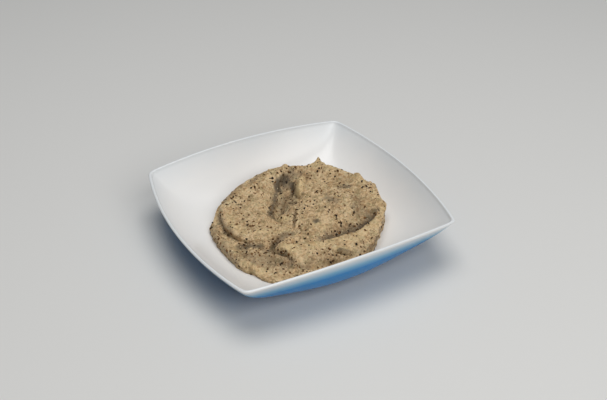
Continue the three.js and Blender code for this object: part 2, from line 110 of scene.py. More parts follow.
def rim_radius(angle, inset=0.0, run=0.0):
    """Plan radius of the rim, moved inwards by an inset; run gives the corners the rounding
    that they have at that share of the wall's run."""
    power = LOW_CORNER_POWER + (RIM_CORNER_POWER - LOW_CORNER_POWER) * (1 - run) ** CORNER_FADE_POWER
    side_x = bowed_side(np.abs(np.cos(angle)), RIM_HALF - inset, RIM_BOW_X)
    side_y = bowed_side(np.abs(np.sin(angle)), RIM_HALF - inset, RIM_BOW_Y)
    return (side_x ** -power + side_y ** -power) ** (-1 / power)


def rim_wave(angle):
    """Height of the rim over its corners."""
    c, s = np.abs(np.cos(angle)), np.abs(np.sin(angle))
    on_x = bowed_side(c, RIM_HALF, RIM_BOW_X) < bowed_side(s, RIM_HALF, RIM_BOW_Y)
    along = np.minimum(1, rim_radius(angle) * np.where(on_x, s, c) / RIM_HALF)
    return np.where(on_x, RIM_WAVE_X, RIM_WAVE_Y) * (1 - along * along)


def wall_drop(run):
    """Share of the depth that the wall has reached at a share of its run."""
    return 1 - (1 - run) ** WALL_CURVE_POWER


def mix(start, end, share):
    return start + (end - start) * share


def smoothstep(value, low, high):
    t = np.clip((value - low) / (high - low), 0, 1)
    return t * t * (3 - 2 * t)


def outer_wall(angle, run):
    radius = mix(rim_radius(angle, 0, run), BODY_FOOT_RADIUS, run)
    return radius, mix(CORNER_HEIGHT + rim_wave(angle), FOOT_HEIGHT, wall_drop(run))


def inner_wall(angle, run):
    radius = mix(rim_radius(angle, RIM_THICKNESS, run), FLOOR_RADIUS, run)
    return radius, mix(CORNER_HEIGHT + rim_wave(angle), FLOOR_HEIGHT, wall_drop(run))


def lip(angle, turn):
    inset = RIM_THICKNESS / 2 * (1 - np.cos(turn))
    height = CORNER_HEIGHT + rim_wave(angle) + RIM_THICKNESS / 2 * np.sin(turn)
    return rim_radius(angle, inset), height


def inner_height(x, y):
    """Height of the bowl's inner surface under a point; the run settles in a few passes."""
    angle = np.arctan2(y, x)
    run = 0.0
    for _ in range(INNER_HEIGHT_PASSES):
        rim = rim_radius(angle, RIM_THICKNESS, run)
        run = np.clip((rim - np.hypot(x, y)) / (rim - FLOOR_RADIUS), 0, 1)
    return inner_wall(angle, run)[1]


def foot_profile():
    """The underside from its middle to the top of the foot ring, with rounded edges."""
    recess = FOOT_INNER_RADIUS - FOOT_DRAFT
    points = [(0, FOOT_RECESS), (recess / 2, FOOT_RECESS), (recess, FOOT_RECESS)]
    for centre, start in ((FOOT_INNER_RADIUS + FOOT_EDGE, 180), (FOOT_OUTER_RADIUS - FOOT_EDGE, 270)):
        for i in range(EDGE_STEPS + 1):
            turn = math.radians(start + 90 * i / EDGE_STEPS)
            points.append((centre + FOOT_EDGE * math.cos(turn), FOOT_EDGE * (1 + math.sin(turn))))
    points.append((FOOT_OUTER_RADIUS + FOOT_DRAFT, FOOT_HEIGHT))
    return points


def bowl_rows(angle):
    """The bowl's section at every angle: rows of radius, height and share of the painted blue
    reflection.
    """
    rows = []
    for radius, height in foot_profile():
        rows.append((np.full_like(angle, radius), np.full_like(angle, height), 1.0))
    rim_height = CORNER_HEIGHT + rim_wave(angle)
    for i in range(WALL_STEPS, -1, -1):
        radius, height = outer_wall(angle, i / WALL_STEPS)
        rows.append((radius, height, (rim_height - height) / BODY_DEPTH))
    for i in range(1, LIP_STEPS):
        rows.append((*lip(angle, math.pi * i / LIP_STEPS), LIP_TINT))
    for i in range(WALL_STEPS + 1):
        tint = LIP_TINT * (1 - i / WALL_STEPS) ** LIP_TINT_POWER
        rows.append((*inner_wall(angle, i / WALL_STEPS), tint))
    for i in range(1, FLOOR_STEPS + 1):
        radius = FLOOR_RADIUS * (1 - i / FLOOR_STEPS)
        rows.append((np.full_like(angle, radius), np.full_like(angle, FLOOR_HEIGHT), 0.0))
    return rows


def bowl_shell():
    """The bowl's points, its faces and each point's share of the painted blue reflection. Its
    first and last rows have no radius, so each is one point, in the middle of the underside and
    of the floor."""
    count = BOWL_SEGMENTS
    turn = np.arange(count) * 2 * math.pi / count
    angle = turn + CORNER_CROWDING * np.sin(4 * turn) / 4
    under, *rows, floor = bowl_rows(angle)
    points = [np.column_stack([radius * np.cos(angle), radius * np.sin(angle), height])
              for radius, height, _ in rows]
    depths = [np.broadcast_to(depth, angle.shape) for _, _, depth in rows]
    middle, last = len(rows) * count, (len(rows) - 1) * count
    faces = []
    for i in range(count):
        j = (i + 1) % count
        for row in range(0, last, count):
            faces.append((row + i, row + j, row + count + j, row + count + i))
        faces.append((middle, j, i))
        faces.append((middle + 1, last + i, last + j))
    points.append([[0, 0, under[1][0]], [0, 0, floor[1][0]]])
    depths.append([under[2], floor[2]])
    return np.vstack(points), faces, np.concatenate(depths)


# ---- the heap's form

MASH_GAP = 0.08  # over the glaze that it lies on
MASH_CENTRE = (2, -2)
MASH_HEIGHT = 8.6  # of the plain heap, before the spoon marks
MASH_CROWN = 1.2  # how much lower the plain heap is towards its side
MASH_SIDE_POWER = 3.0  # the higher, the squarer the plain heap's side
MASH_WALL = 25  # height of the steepest side that the spoon marks may leave
MASH_WALL_POWER = 5
WALL_BLEND = 3
MASH_TUCK = 1.3  # how far the side turns under at the glaze
TUCK_START = 0.88  # share of the way out where it starts to turn under
# Reach of the heap's foot from its centre, each 15 degrees, from +X anticlockwise.
MASH_REACH = [
    60, 60, 59, 59, 58, 57, 57, 57, 58, 59, 61, 61,
    60, 60, 62, 64, 62, 59, 57, 56, 55, 55, 57, 59,
]
MASH_RINGS = 170  # each ring has six points more than the one inside it
FOOT_FADE = 0.4  # share of the side's height over which lumps fade in
SIDE_TABLE_STEPS = 2000
Uneven = namedtuple("Uneven", "depth length seed")  # of smooth random relief
REACH_UNEVEN = Uneven(2.2, 9, 35)  # of the whole side
SIDE_UNEVEN = Uneven(1.6, 5, 36)  # of lumps on the side
SIDE_START = 0.8  # share of the way out where the side becomes uneven
UNDERSIDE_ROWS = 4
UNDERSIDE_FLAT_RADIUS = 46

CELL = 1.0  # of the grid on which the paste's mean height is taken
CELL_BLURS = 8
CREASE_SHADE_PER_MM = 0.22  # share of painted shade for each mm that a crease is deep
# Most painted shade that a crease may get.
CREASE_SHADE_MOST = 0.45
CREASE_SHADE_CLEARANCE = (3, 6)  # heights over the glaze between which that fades in
PATCH_RAGGED = 0.5
RAGGED_COARSE, RAGGED_FINE = Uneven(1, 5, 25), Uneven(0.6, 2, 26)

# What the spoon did, in order, each along a path from above with a height at every point. A
# rope lays a round-topped roll whose crest is at the path's height over the table, and a scoop
# cuts a round-bottomed groove whose lowest line is there. Their sides have run down or up by
# the depths at the widths, to the left and to the right of the path. A fold lifts the paste
# by the path's height on its left and drops it as far on its right, and curls over sideways.
# A ridge only lifts it, or cuts a crease where the height is below 0.
Mark = namedtuple("Mark", "name form path widths depths blend curl", defaults=((1, 1), 1.2, 0))
SPOON_MARKS = [
    Mark("back ridge", "rope", [
        (-45, 20, 16.5), (-38, 31, 18.5), (-28, 40, 21), (-12, 45.5, 24), (9, 47.5, 26),
        (26, 41, 26.5), (40, 33, 27.5), (49, 20, 26.5), (54, 8, 26.5), (54.5, -5, 25),
        (53, -17, 23), (51, -28, 19.5)], (9, 14), (15, 6), 1.5),
    Mark("terrace", "rope", [
        (-6, 37, 20.5), (-14, 26, 19.3), (-20, 16, 18.7), (-22, 6, 18), (-20, -4, 17.5),
        (-15, -11, 16.5)], (5, 22), (2, 3), 1.5),
    Mark("hollow", "scoop", [
        (13, 37, 20), (8, 33.5, 17), (2, 27, 14.5), (-4, 18, 13.5), (-9.5, 10, 12.8),
        (-11, 4, 13), (-9, -4, 15)], (15, 5), (5.5, 8), 0.3),
    Mark("dome's edge", "rope", [
        (26, 27, 24), (16.5, 19, 24.2), (10, 8.5, 23), (4.5, -2, 22), (-2, -12, 19),
        (-6, -19, 17)], (24, 5), (2, 8.5), 0.3),
    Mark("dome's top", "rope", [
        (12, -5, 23.5), (22, -2, 25.5), (33, -1, 26.7), (45, 2, 26.3)], (14, 25), (4, 5), 2),
    Mark("pit beside the nub", "scoop", [
        (16.5, 36, 22), (13.5, 31.5, 18), (10.5, 26.5, 16), (7, 22, 16.5)], (3.5, 6), (8, 3), 0.5),
    Mark("shoulder of the dome", "rope", [
        (10.5, 18, 20), (6.5, 12, 20.8), (2.5, 5, 20), (0, 0.5, 18)], (8, 8), (2, 4.5), 1.5),
    Mark("notch under the nub", "ridge", [(8, 17.5, 0), (11, 14.5, -2.2), (15.5, 12.5, 0)], (3, 2.5)),
    Mark("crease by the dome", "ridge", [
        (1, 3.5, 0), (-0.8, 0.4, -1.5), (-4, -4.5, -2), (-7.8, -10, -1.5), (-10, -13, 0)],
        (1.5, 1.5)),
    Mark("groove behind the dome", "ridge", [
        (18, 34, 0), (25, 31, -1.8), (34, 27, -1.8), (43, 18, -1.5), (48, 9, 0)], (4, 5)),
    Mark("nub", "rope", [
        (22, 31.5, 25.3), (18.5, 26.5, 27), (15.3, 21.8, 27.5), (13.2, 18.8, 27)],
        (2.8, 2.8), (2.4, 3), 0.3),
    Mark("valley", "scoop", [
        (-2, -30, 18), (8, -31, 15), (17, -32, 13.5), (26, -32, 13), (34, -29.5, 13.5),
        (41, -27, 14.5), (45, -26, 17.5), (48.5, -25, 22)], (9, 4), (8, 9), 0.5),
    Mark("front roll", "rope", [
        (-23, -27.5, 19.5), (-12, -32, 19.5), (-1.3, -34.5, 19.5), (6.3, -37, 20),
        (15.5, -37.5, 20.3), (23.2, -38.3, 20.8), (30.6, -36.5, 20.8), (37.4, -34, 20.6),
        (45, -30, 20), (51, -26, 20.5)], (4, 15), (8, 6), 0.3),
    Mark("terrace edge", "fold", [
        (-38, 38, 0), (-42, 28, 1.8), (-45, 14, 2.2), (-44.5, 5, 2), (-41.5, -4, 1.6),
        (-35, -10, 1), (-25, -13.5, 0.8), (-16, -13.5, 0.9), (-9, -17, 0)], (14, 9), curl=1),
    Mark("outer ridge", "rope", [
        (-51, 18, 13.5), (-54, 8, 14.5), (-52.5, -1, 16), (-53, -9, 16.4), (-52, -20, 16),
        (-49, -29, 15.3), (-44, -36, 14)], (4, 4.5), (4, 5), 0.4),
    Mark("channel", "ridge", [
        (-17, -16, 0), (-23, -16.5, -2.5), (-29, -20.5, -4), (-30.5, -27, -4.5), (-28, -32.5, -4),
        (-25, -37, -3), (-22, -41.5, 0)], (3, 2.2)),
    Mark("lip of the channel", "ridge", [
        (-33, -22, 0), (-35, -28, 1.5), (-32, -35, 2), (-28, -40, 1.5), (-24, -45, 0)], (4, 3)),
    Mark("front cleft", "ridge", [
        (-24, -45, 0), (-16, -48, -3), (-6, -50, -4), (2, -53, -3.5), (10, -56, 0)], (3, 4)),
    Mark("ledge", "fold", [
        (0, -44.5, 0), (4, -46.5, 1.6), (9, -49, 2), (13, -50.5, 1.4), (17, -51.5, 0)],
        (5, 3), curl=0.8),
]
# Lumps on the heap: place from above, radius, and how far each rises.
LUMPS = [
    ("lump in the pocket", (3.6, 29.2), 3.2, 2.5),
    ("shelf in the hollow", (-8, 5.4), 4.5, 1.8),
    ("crumb in the hollow", (-6, 8), 2.5, 1),
    ("thin peak", (36.5, 35.5), 7, 3),
    ("tip of the thin peak", (38, 37), 2.4, 3),
    ("left lobe", (-41, 8), 7, 1.2),
    ("back bump", (16, 46), 3.5, 2.5),
    ("second back bump", (4, 47), 2, 1.6),
    ("left bump", (-24, 42.5), 2.5, 1),
    ("bump before the right one", (46, 22), 4, 1.5),
    ("right bump", (53, 9), 5, 3),
    ("right shoulder", (55, -6), 5, 1.5),
    ("right lobe", (52, -20), 4.5, 3),
    ("knob", (-25, -28.5), 5, 2),
    ("knob's side", (-21, -31.5), 6, 1),
]
# Painted shade in the pocket, the hollows, the valley and the creases, under overhangs and on
# sides turned from the light, with dark juice and ground pepper in a few spots: path from above,
# reach, strength.
SHADE_AND_JUICE_PATCHES = [
    ("pocket's wall", [(15, 39), (12, 36), (5, 35)], 5.5, 0.6),
    ("pocket's core", [(15, 33), (12, 27), (10, 22)], 2.6, 0.85),
    ("hollow's left wall", [
        (13, 39), (6, 37), (2, 32), (-4, 24), (-8, 19), (-13, 12), (-14, 6)], 3.2, 0.8),
    ("hollow's floor", [(5, 27), (0, 18), (-4, 10)], 6.5, 0.4),
    ("under the nub", [(9, 20), (6.5, 15), (3, 9)], 4, 0.45),
    ("crease by the dome", [(0, 2), (-7, -9)], 1.6, 0.5),
    ("plateau", [(-46, -8), (-42, -11.5), (-36, -16)], 4.5, 0.75),
    ("plateau's end", [(-36, -18), (-33, -26)], 4, 0.4),
    ("valley", [(3, -31), (10, -30), (19, -29), (28, -29), (35, -28), (42, -25)], 5.5, 0.7),
    ("valley's right end", [(33, -28), (39, -27), (44.5, -25.5), (49, -24)], 2.5, 0.62),
    ("dome's right side", [(38, -18), (40, -12)], 6, 0.3),
    ("dome's top", [(37, 5), (42, 2.5)], 4, 0.55),
    ("dome's middle", [(22, -2), (25, -7)], 4, 0.5),
    ("dome's spot", [(5, -17), (6, -17.5)], 2.4, 0.8),
    ("left crease", [(-42, 31), (-44, 25), (-46.5, 15), (-46, 6), (-45, 0)], 2.5, 0.45),
    ("left band", [(-52, 22), (-56, 8), (-56, -8), (-56, -20)], 6, 0.3),
    ("ridge over the pocket", [(19, 41), (23, 36)], 3.5, 0.45),
    ("ridge's left", [(-5, 46), (-12, 43)], 2.5, 0.4),
    ("channel", [
        (-12, -15), (-19, -14.5), (-26, -17), (-30.5, -23), (-30.5, -28), (-27, -34),
        (-24, -40)], 3, 0.6),
    ("pepper on the dome", [(41, 6), (42, 3)], 3.5, 0.3),
    ("pepper in the middle", [(24, 2), (24, -3)], 4, 0.25),
    ("pepper low on the dome", [(5.5, -16), (7, -18)], 2.5, 0.35),
    ("pepper by the valley", [(34, -17), (36, -21)], 4, 0.3),
    ("left of the back ridge", [(-36, 36), (-28, 41), (-18, 45)], 4, 0.3),
    ("below the knob", [(-27, -41), (-22, -45), (-17, -47)], 4, 0.35),
    ("apron", [(-48, -18), (-40, -29), (-30, -38)], 9, 0.38),
    ("front face", [(-12, -44), (4, -50), (18, -52)], 6, 0.2),
    ("line under the knob", [
        (-30.4, -27), (-29.2, -31.5), (-27.4, -34.2), (-25.4, -36.4), (-24.8, -39)], 1.3, 0.85),
    ("line under the ledge", [(4, -47.3), (9, -49.8), (13, -51.1)], 0.7, 0.6),
]
# Where the paste is drier and paler, with painted light on the crests, the edges and the side
# toward the light: path from above, reach, strength.
PALE_AND_LIT_PATCHES = [
    ("nub", [(19, 28), (15, 23), (11.5, 18)], 4.2, 1),
    ("lump in the pocket", [(3, 29), (4, 29.5)], 3, 0.6),
    ("clump in the hollow", [(-9, 6), (-8, 3), (-7, 0)], 4, 0.9),
    ("grit low on the dome", [(3, -19), (6, -22)], 5, 0.5),
    ("knob", [(-25, -28.5), (-21, -33)], 5.5, 0.8),
    ("front roll", [(-12, -35), (4, -39), (16, -42), (28, -40), (40, -34)], 4.5, 0.4),
    ("ledge", [(4, -46), (9, -48.5), (13, -50)], 2.5, 0.8),
    ("lobe of the terrace", [(-39.5, 20), (-41, 12), (-41, 6), (-38, -1)], 4, 0.6),
    ("end of the terrace", [(-30, -4), (-22, -10), (-15, -12)], 4, 0.5),
    ("thin peak", [(34, 36), (41, 33), (45, 27)], 6, 0.6),
    ("right bump", [(51, 10), (53, 5)], 5, 0.5),
    ("right side", [(54, -14), (53, -22), (50, -28)], 5, 0.4),
    ("outer band", [(-50, -7), (-51, -18), (-51, -32), (-43, -38)], 5, 0.35),
]
# Uneven paste, from broad lumps to crumbs: height, length and seed of each noise, and how far
# it is folded into round lumps with creases between them. The ground that the lumps lie in is
# warped, and smooth and rough patches come a rough length apart.
LUMPINESS = [
    (0.9, 15, 5, 0), (0.9, 8, 6, 0.5), (0.9, 4.5, 7, 0.4), (1, 2.6, 8, 0.3), (0.65, 1.4, 9, 0.2),
]
FOLDED_GAIN, FOLDED_SOFTNESS, FOLDED_DROP = 1.6, 0.045, 0.35
LUMP_WARP_X, LUMP_WARP_Y = Uneven(3, 11, 4), Uneven(3, 11, 3)
ROUGH_LENGTH, ROUGH_SEED = 17, 14
ROUGH_NOISE, ROUGH_RANGE = (-0.35, 0.45), (0.5, 1.35)  # of the noise, and of the relief there
# Factors that draw a corner's random number from its column, its row and the seed.
DRAW_COLUMN, DRAW_ROW, DRAW_SEED, DRAW_SPREAD = 12.9898, 78.233, 37.719, 43758.5453
FOLD_SOFTNESS = 0.6  # half the width of a fold's edge
CURVE_STEPS = 16  # between two of a path's points
SAMPLES_PER_PATH = 48
NEAR_ZERO = 1e-6


def smooth_path(points, count):
    """Even points along a centripetal Catmull-Rom curve through the given ones."""
    given = np.array(points, float)
    given = np.vstack([2 * given[0] - given[1], given, 2 * given[-1] - given[-2]])
    dense = []
    t = np.linspace(0, 1, CURVE_STEPS, endpoint=False)[:, None]
    for a, b, c, d in zip(given, given[1:], given[2:], given[3:]):
        ab, bc, cd = (math.sqrt(np.linalg.norm(q - p)) for p, q in ((a, b), (b, c), (c, d)))
        start = ((b - a) / ab - (c - a) / (ab + bc) + (c - b) / bc) * bc
        end = ((c - b) / bc - (d - b) / (bc + cd) + (d - c) / cd) * bc
        dense.append(b + start * t + (3 * (c - b) - 2 * start - end) * t ** 2
                     + (2 * (b - c) + start + end) * t ** 3)
    dense = np.vstack(dense + [given[-2:-1]])
    run = np.concatenate([[0], np.cumsum(np.linalg.norm(np.diff(dense, axis=0), axis=1))])
    even = np.linspace(0, run[-1], count + 1)
    return np.column_stack([np.interp(even, run, dense[:, axis]) for axis in range(dense.shape[1])])


def path_offset(path, x, y):
    """Distance from a path, how far to its left the point lies as a share of that distance,
    and the path's height and direction at its nearest point."""
    points = smooth_path(path, SAMPLES_PER_PATH)
    nearest = np.full(x.shape, np.inf)
    across, height = np.zeros(x.shape), np.zeros(x.shape)
    ahead_x, ahead_y = np.zeros(x.shape), np.zeros(x.shape)
    for a, b in zip(points, points[1:]):
        dx, dy = b[0] - a[0], b[1] - a[1]
        length = math.hypot(dx, dy)
        along = np.clip(((x - a[0]) * dx + (y - a[1]) * dy) / length ** 2, 0, 1)
        distance = np.hypot(x - a[0] - along * dx, y - a[1] - along * dy)
        closer = distance < nearest
        nearest = np.where(closer, distance, nearest)
        across = np.where(closer, (dx * (y - a[1]) - dy * (x - a[0])) / length, across)
        ahead_x = np.where(closer, dx / length, ahead_x)
        ahead_y = np.where(closer, dy / length, ahead_y)
        height = np.where(closer, mix(a[2], b[2], along), height)
    return nearest, across / np.maximum(nearest, NEAR_ZERO), height, ahead_x, ahead_y


def swell(share):
    return np.clip(1 - share * share, 0, 1) ** 2


def smooth_max(a, b, softness):
    near = np.clip(1 - np.abs(a - b) / softness, 0, 1)
    return np.maximum(a, b) + near * near * softness / 4


def press(mark, x, y, height):
    """The skin's height after one spoon mark, and how far the mark pushes it sideways."""
    distance, lean, line, ahead_x, ahead_y = path_offset(mark.path, x, y)
    leftness = (1 + lean) / 2
    share = distance / mix(mark.widths[1], mark.widths[0], leftness)
    if mark.form in ("rope", "scoop"):
        sag = mix(mark.depths[1], mark.depths[0], leftness) * share * share
        if mark.form == "rope":
            return smooth_max(height, line - sag, mark.blend), 0, 0
        return -smooth_max(-height, -line - sag, mark.blend), 0, 0
    fade = swell(share)
    if mark.form == "ridge":
        return height + line * fade, 0, 0
    # The curl is strongest just inside the side that is lifted.
    across = distance * lean / FOLD_SOFTNESS
    curl = mark.curl * np.abs(line) * np.exp(-(across / 2 - 0.5) ** 2) * fade
    return height + line * np.tanh(across) * fade, curl * ahead_y, -curl * ahead_x


def mash_reach(angle):
    """Reach of the heap's foot at an angle, smooth through the named directions."""
    reach = np.array(MASH_REACH, float)
    place = angle / (2 * math.pi) * len(reach)
    start = np.floor(place).astype(int)
    t = place - start
    a, b, c, d = (reach[(start + step) % len(reach)] for step in (-1, 0, 1, 2))
    return b + t * (c - a + t * (2 * a - 5 * b + 4 * c - d + t * (3 * (b - c) + d - a))) / 2


def raggedness(angle, up):
    """How far the side stands out of that even form, at a height up the side."""
    x, y = np.cos(angle) * MASH_REACH[0], np.sin(angle) * MASH_REACH[0]
    return uneven(REACH_UNEVEN, x, y) + uneven(SIDE_UNEVEN, x + up, y - up / 2)


def paste_noise(x, y, length, seed):
    """Smooth random relief between about -0.7 and 0.7, with lumps of the given length: at each
    corner of a square grid the ground leans in a direction drawn from the corner's number."""
    column, row = np.floor(x / length), np.floor(y / length)
    right, top = x / length - column, y / length - row
    total = 0
    for i in (0, 1):
        for j in (0, 1):
            number = DRAW_COLUMN * (column + i) + DRAW_ROW * (row + j) + DRAW_SEED * seed
            lean = 2 * math.pi * (DRAW_SPREAD * np.sin(number) % 1)
            slope = np.cos(lean) * (right - i) + np.sin(lean) * (top - j)
            total = total + slope * smoothstep(1 - np.abs(right - i), 0, 1) * smoothstep(
                1 - np.abs(top - j), 0, 1)
    return total


def uneven(kind, x, y):
    return kind.depth * paste_noise(x, y, kind.length, kind.seed)


def lumpiness(x, y):
    warped_x, warped_y = x + uneven(LUMP_WARP_X, x, y), y + uneven(LUMP_WARP_Y, x, y)
    rise = 0
    for height, length, seed, folded in LUMPINESS:
        noise = paste_noise(warped_x, warped_y, length, seed)
        fold = FOLDED_GAIN * np.hypot(noise, FOLDED_SOFTNESS) - FOLDED_DROP
        rise = rise + height * mix(noise, fold, folded)
    rough = smoothstep(paste_noise(x, y, ROUGH_LENGTH, ROUGH_SEED), *ROUGH_NOISE)
    return rise * mix(*ROUGH_RANGE, rough)


def side_table():
    """Even steps over the heap's section: plan and height shares against the share of the way."""
    turn = np.linspace(0, math.pi / 2, SIDE_TABLE_STEPS)
    plan = np.sin(turn) ** (2 / MASH_SIDE_POWER)
    share = np.cos(turn) ** (2 / MASH_SIDE_POWER)
    proportion = MASH_WALL / 2 / np.mean(MASH_REACH)
    run = np.concatenate([[0], np.cumsum(np.hypot(np.diff(plan), np.diff(share) * proportion))])
    return run / run[-1], plan, share


def mash_skin(angle, out):
    """Points of the heap's skin; out runs from 0 in the middle to 1 at the foot."""
    run, plans, shares = side_table()
    plan, share = np.interp(out, run, plans), np.interp(out, run, shares)
    ragged = raggedness(angle, MASH_WALL * share) * smoothstep(plan, SIDE_START, 1)
    reach = mash_reach(angle) * plan + ragged - MASH_TUCK * smoothstep(out, TUCK_START, 1)
    x = MASH_CENTRE[0] + reach * np.cos(angle)
    y = MASH_CENTRE[1] + reach * np.sin(angle)
    floor = inner_height(x, y) + MASH_GAP
    top = floor + (MASH_HEIGHT - MASH_CROWN * plan * plan) * share
    shift_x, shift_y = 0, 0
    for mark in SPOON_MARKS:
        top, push_x, push_y = press(mark, x, y, top)
        shift_x, shift_y = shift_x + push_x, shift_y + push_y
    wall = floor + MASH_WALL * np.clip(1 - plan ** MASH_WALL_POWER, 0, 1) ** (1 / MASH_WALL_POWER)
    rise = lumpiness(x, y)
    for _, (at_x, at_y), radius, lift in LUMPS:
        rise = rise + lift * swell(np.hypot(x - at_x, y - at_y) / radius)
    free = smoothstep(share, 0, FOOT_FADE)
    top = -smooth_max(-top, -wall, WALL_BLEND) + rise * free
    return x + shift_x * free, y + shift_y * free, np.maximum(floor, top)


def hollowness(x, y, z):
    """How far each point lies below the paste around it, in mm."""
    low = np.array([x.min(), y.min()])
    columns, rows = (np.ceil((np.array([x.max(), y.max()]) - low) / CELL).astype(int) + 1)
    column, row = ((x - low[0]) / CELL).astype(int), ((y - low[1]) / CELL).astype(int)
    place = row * columns + column
    total = np.bincount(place, z, rows * columns).reshape(rows, columns)
    count = np.bincount(place, minlength=rows * columns).reshape(rows, columns).astype(float)
    for _ in range(CELL_BLURS):
        for axis in (0, 1):
            total, count = (0.5 * a + 0.25 * (np.roll(a, 1, axis) + np.roll(a, -1, axis))
                            for a in (total, count))
    around = total / np.maximum(count, NEAR_ZERO)
    return around[row, column] - z


def patches(table, x, y):
    """Cover of the named patches, each fading out raggedly to its reach."""
    ragged = uneven(RAGGED_COARSE, x, y) + uneven(RAGGED_FINE, x, y)
    bare = np.ones(x.shape)
    for _, path, reach, strength in table:
        distance = path_offset([(*point, 0) for point in path], x, y)[0]
        bare = bare * (1 - strength * swell((distance / reach + PATCH_RAGGED * ragged).clip(0)))
    return 1 - bare


def shade_and_juice(x, y, z):
    """Share of darkening in the paste: the named patches, mostly painted shade with some juice and
    pepper, and painted shade in every crease.
    """
    inside = smoothstep(z - inner_height(x, y), *CREASE_SHADE_CLEARANCE)
    crease = np.clip(CREASE_SHADE_PER_MM * hollowness(x, y, z) * inside, 0, CREASE_SHADE_MOST)
    return 1 - (1 - patches(SHADE_AND_JUICE_PATCHES, x, y)) * (1 - crease)


def ring_start(ring):
    """Number of a ring's first point in a disc whose rings grow by six points each."""
    return 1 + 3 * ring * (ring - 1)


def ring_faces(rings):
    """Triangles of such a disc."""
    faces = []
    for ring in range(1, rings + 1):
        step = np.arange(6 * ring)
        sector, place = step // ring, step % ring
        outer = ring_start(ring) + step
        ahead = ring_start(ring) + (step + 1) % (6 * ring)
        inside = sector * (ring - 1) + place
        count = max(1, 6 * (ring - 1))
        base = 0 if ring == 1 else ring_start(ring - 1)
        inner = base + inside % count
        inner_ahead = base + (inside + 1) % count
        faces.append(np.column_stack([outer, ahead, inner]))
        more = place + 1 < ring
        faces.append(np.column_stack([ahead, inner_ahead, inner])[more])
    return np.vstack(faces)


def close_below(skin, faces):
    """Leads the heap's foot in over the glaze in rows, and closes it with a flat middle."""
    edge = np.arange(len(skin) - 6 * MASH_RINGS, len(skin))
    foot = skin[edge]
    parts, count = [skin], len(skin)
    for row in range(1, UNDERSIDE_ROWS + 1):
        flat = UNDERSIDE_FLAT_RADIUS / np.hypot(foot[:, 0], foot[:, 1])
        below = foot[:, :2] * mix(1, flat, row / UNDERSIDE_ROWS)[:, None]
        height = inner_height(below[:, 0], below[:, 1]) + MASH_GAP
        parts.append(np.column_stack([below, height]))
        inner = count + np.arange(len(edge))
        ahead, inner_ahead = np.roll(edge, -1), np.roll(inner, -1)
        faces += np.column_stack([edge, inner, inner_ahead, ahead]).tolist()
        edge, count = inner, count + len(edge)
    faces.append(edge[::-1].tolist())
    return np.vstack(parts), faces


# ---- meshes and nodes

def new_object(name, data):
    item = bpy.data.objects.new(name, data)
    bpy.context.scene.collection.objects.link(item)
    return item


def new_piece(name, vertices, faces, material, smooth=True):
    """A mesh object in metres from points in millimetres."""
    mesh = bpy.data.meshes.new(name)
    mesh.from_pydata((np.asarray(vertices) * MM).tolist(), [], faces)
    mesh.materials.append(material)
    mesh.polygons.foreach_set("use_smooth", [smooth] * len(mesh.polygons))
    mesh.update()
    return new_object(name, mesh)


def give_attribute(piece, name, values):
    attribute = piece.data.attributes.new(name, "FLOAT", "POINT")
    attribute.data.foreach_set("value", np.asarray(values, np.float32))


def add_node(tree, kind, inputs=None, **settings):
    """Adds a node. For a socket's name or number, inputs gives a value, another node's output,
    or another node, which stands for its first output."""
    node = tree.nodes.new(kind)
    for name, value in settings.items():
        setattr(node, name, value)
    for key, value in (inputs or {}).items():
        if isinstance(value, bpy.types.Node):
            value = value.outputs[0]
        if isinstance(value, bpy.types.NodeSocket):
            tree.links.new(value, node.inputs[key])
        else:
            node.inputs[key].default_value = value
    return node


def new_material(name):
    material = bpy.data.materials.new(name)
    material.use_nodes = True
    material.node_tree.nodes.clear()
    return material, material.node_tree


def set_ramp(node, stops):
    """Gives a colour ramp its stops, each a place and a linear colour."""
    elements = node.color_ramp.elements
    while len(elements) > 1:
        elements.remove(elements[-1])
    for i, (place, colour) in enumerate(stops):
        element = elements[0] if i == 0 else elements.new(place)
        element.position = place
        element.color = (*colour, 1)


# ---- materials

def glazed_porcelain(settings):
    """Porcelain under a clear gloss glaze, white, with a painted reflection of a blue surface below.

    The eye gets a clean white with a soft wet gloss, and outside a painted blue reflection that
    deepens from the rim to halfway down and is even from there on.
    """
    material, tree = new_material("glazed_porcelain")
    place = add_node(tree, "ShaderNodeTexCoord")
    depth = add_node(tree, "ShaderNodeAttribute", attribute_name="below_rim")
    # Noise that wanders the edge of the painted blue reflection.
    reflection_wander = add_node(tree, "ShaderNodeTexNoise", {
        "Vector": place.outputs["Object"], "Scale": 1 / (18 * MM), "Detail": 2.0})
    drift = add_node(tree, "ShaderNodeMapRange", {"Value": reflection_wander, "To Min": -0.02, "To Max": 0.0})
    shade = add_node(tree, "ShaderNodeMath", {
        0: depth.outputs["Fac"], 1: drift}, operation="ADD", use_clamp=True)
    ramp = add_node(tree, "ShaderNodeValToRGB", {"Fac": shade})
    white, thin = settings.glaze_white, settings.thin_reflected_blue
    mist = [mix(a, b, 0.4) for a, b in zip(white, thin)]
    # White glaze inside; down the outside, the painted reflection of a blue surface below.
    set_ramp(ramp, [(0.0, white), (0.1, mist), (0.25, thin), (0.41, settings.reflected_blue)])
    ripple = add_node(tree, "ShaderNodeTexNoise", {
        "Vector": place.outputs["Object"], "Scale": 1 / (9 * MM), "Detail": 1.0})
    bump = add_node(tree, "ShaderNodeBump", {"Height": ripple, "Strength": 0.06, "Distance": 0.4 * MM})
    shader = add_node(tree, "ShaderNodeBsdfPrincipled", {
        "Base Color": ramp, "Normal": bump, "Roughness": settings.glaze_roughness, "IOR": 1.52})
    add_node(tree, "ShaderNodeOutputMaterial", {"Surface": shader})
    return material


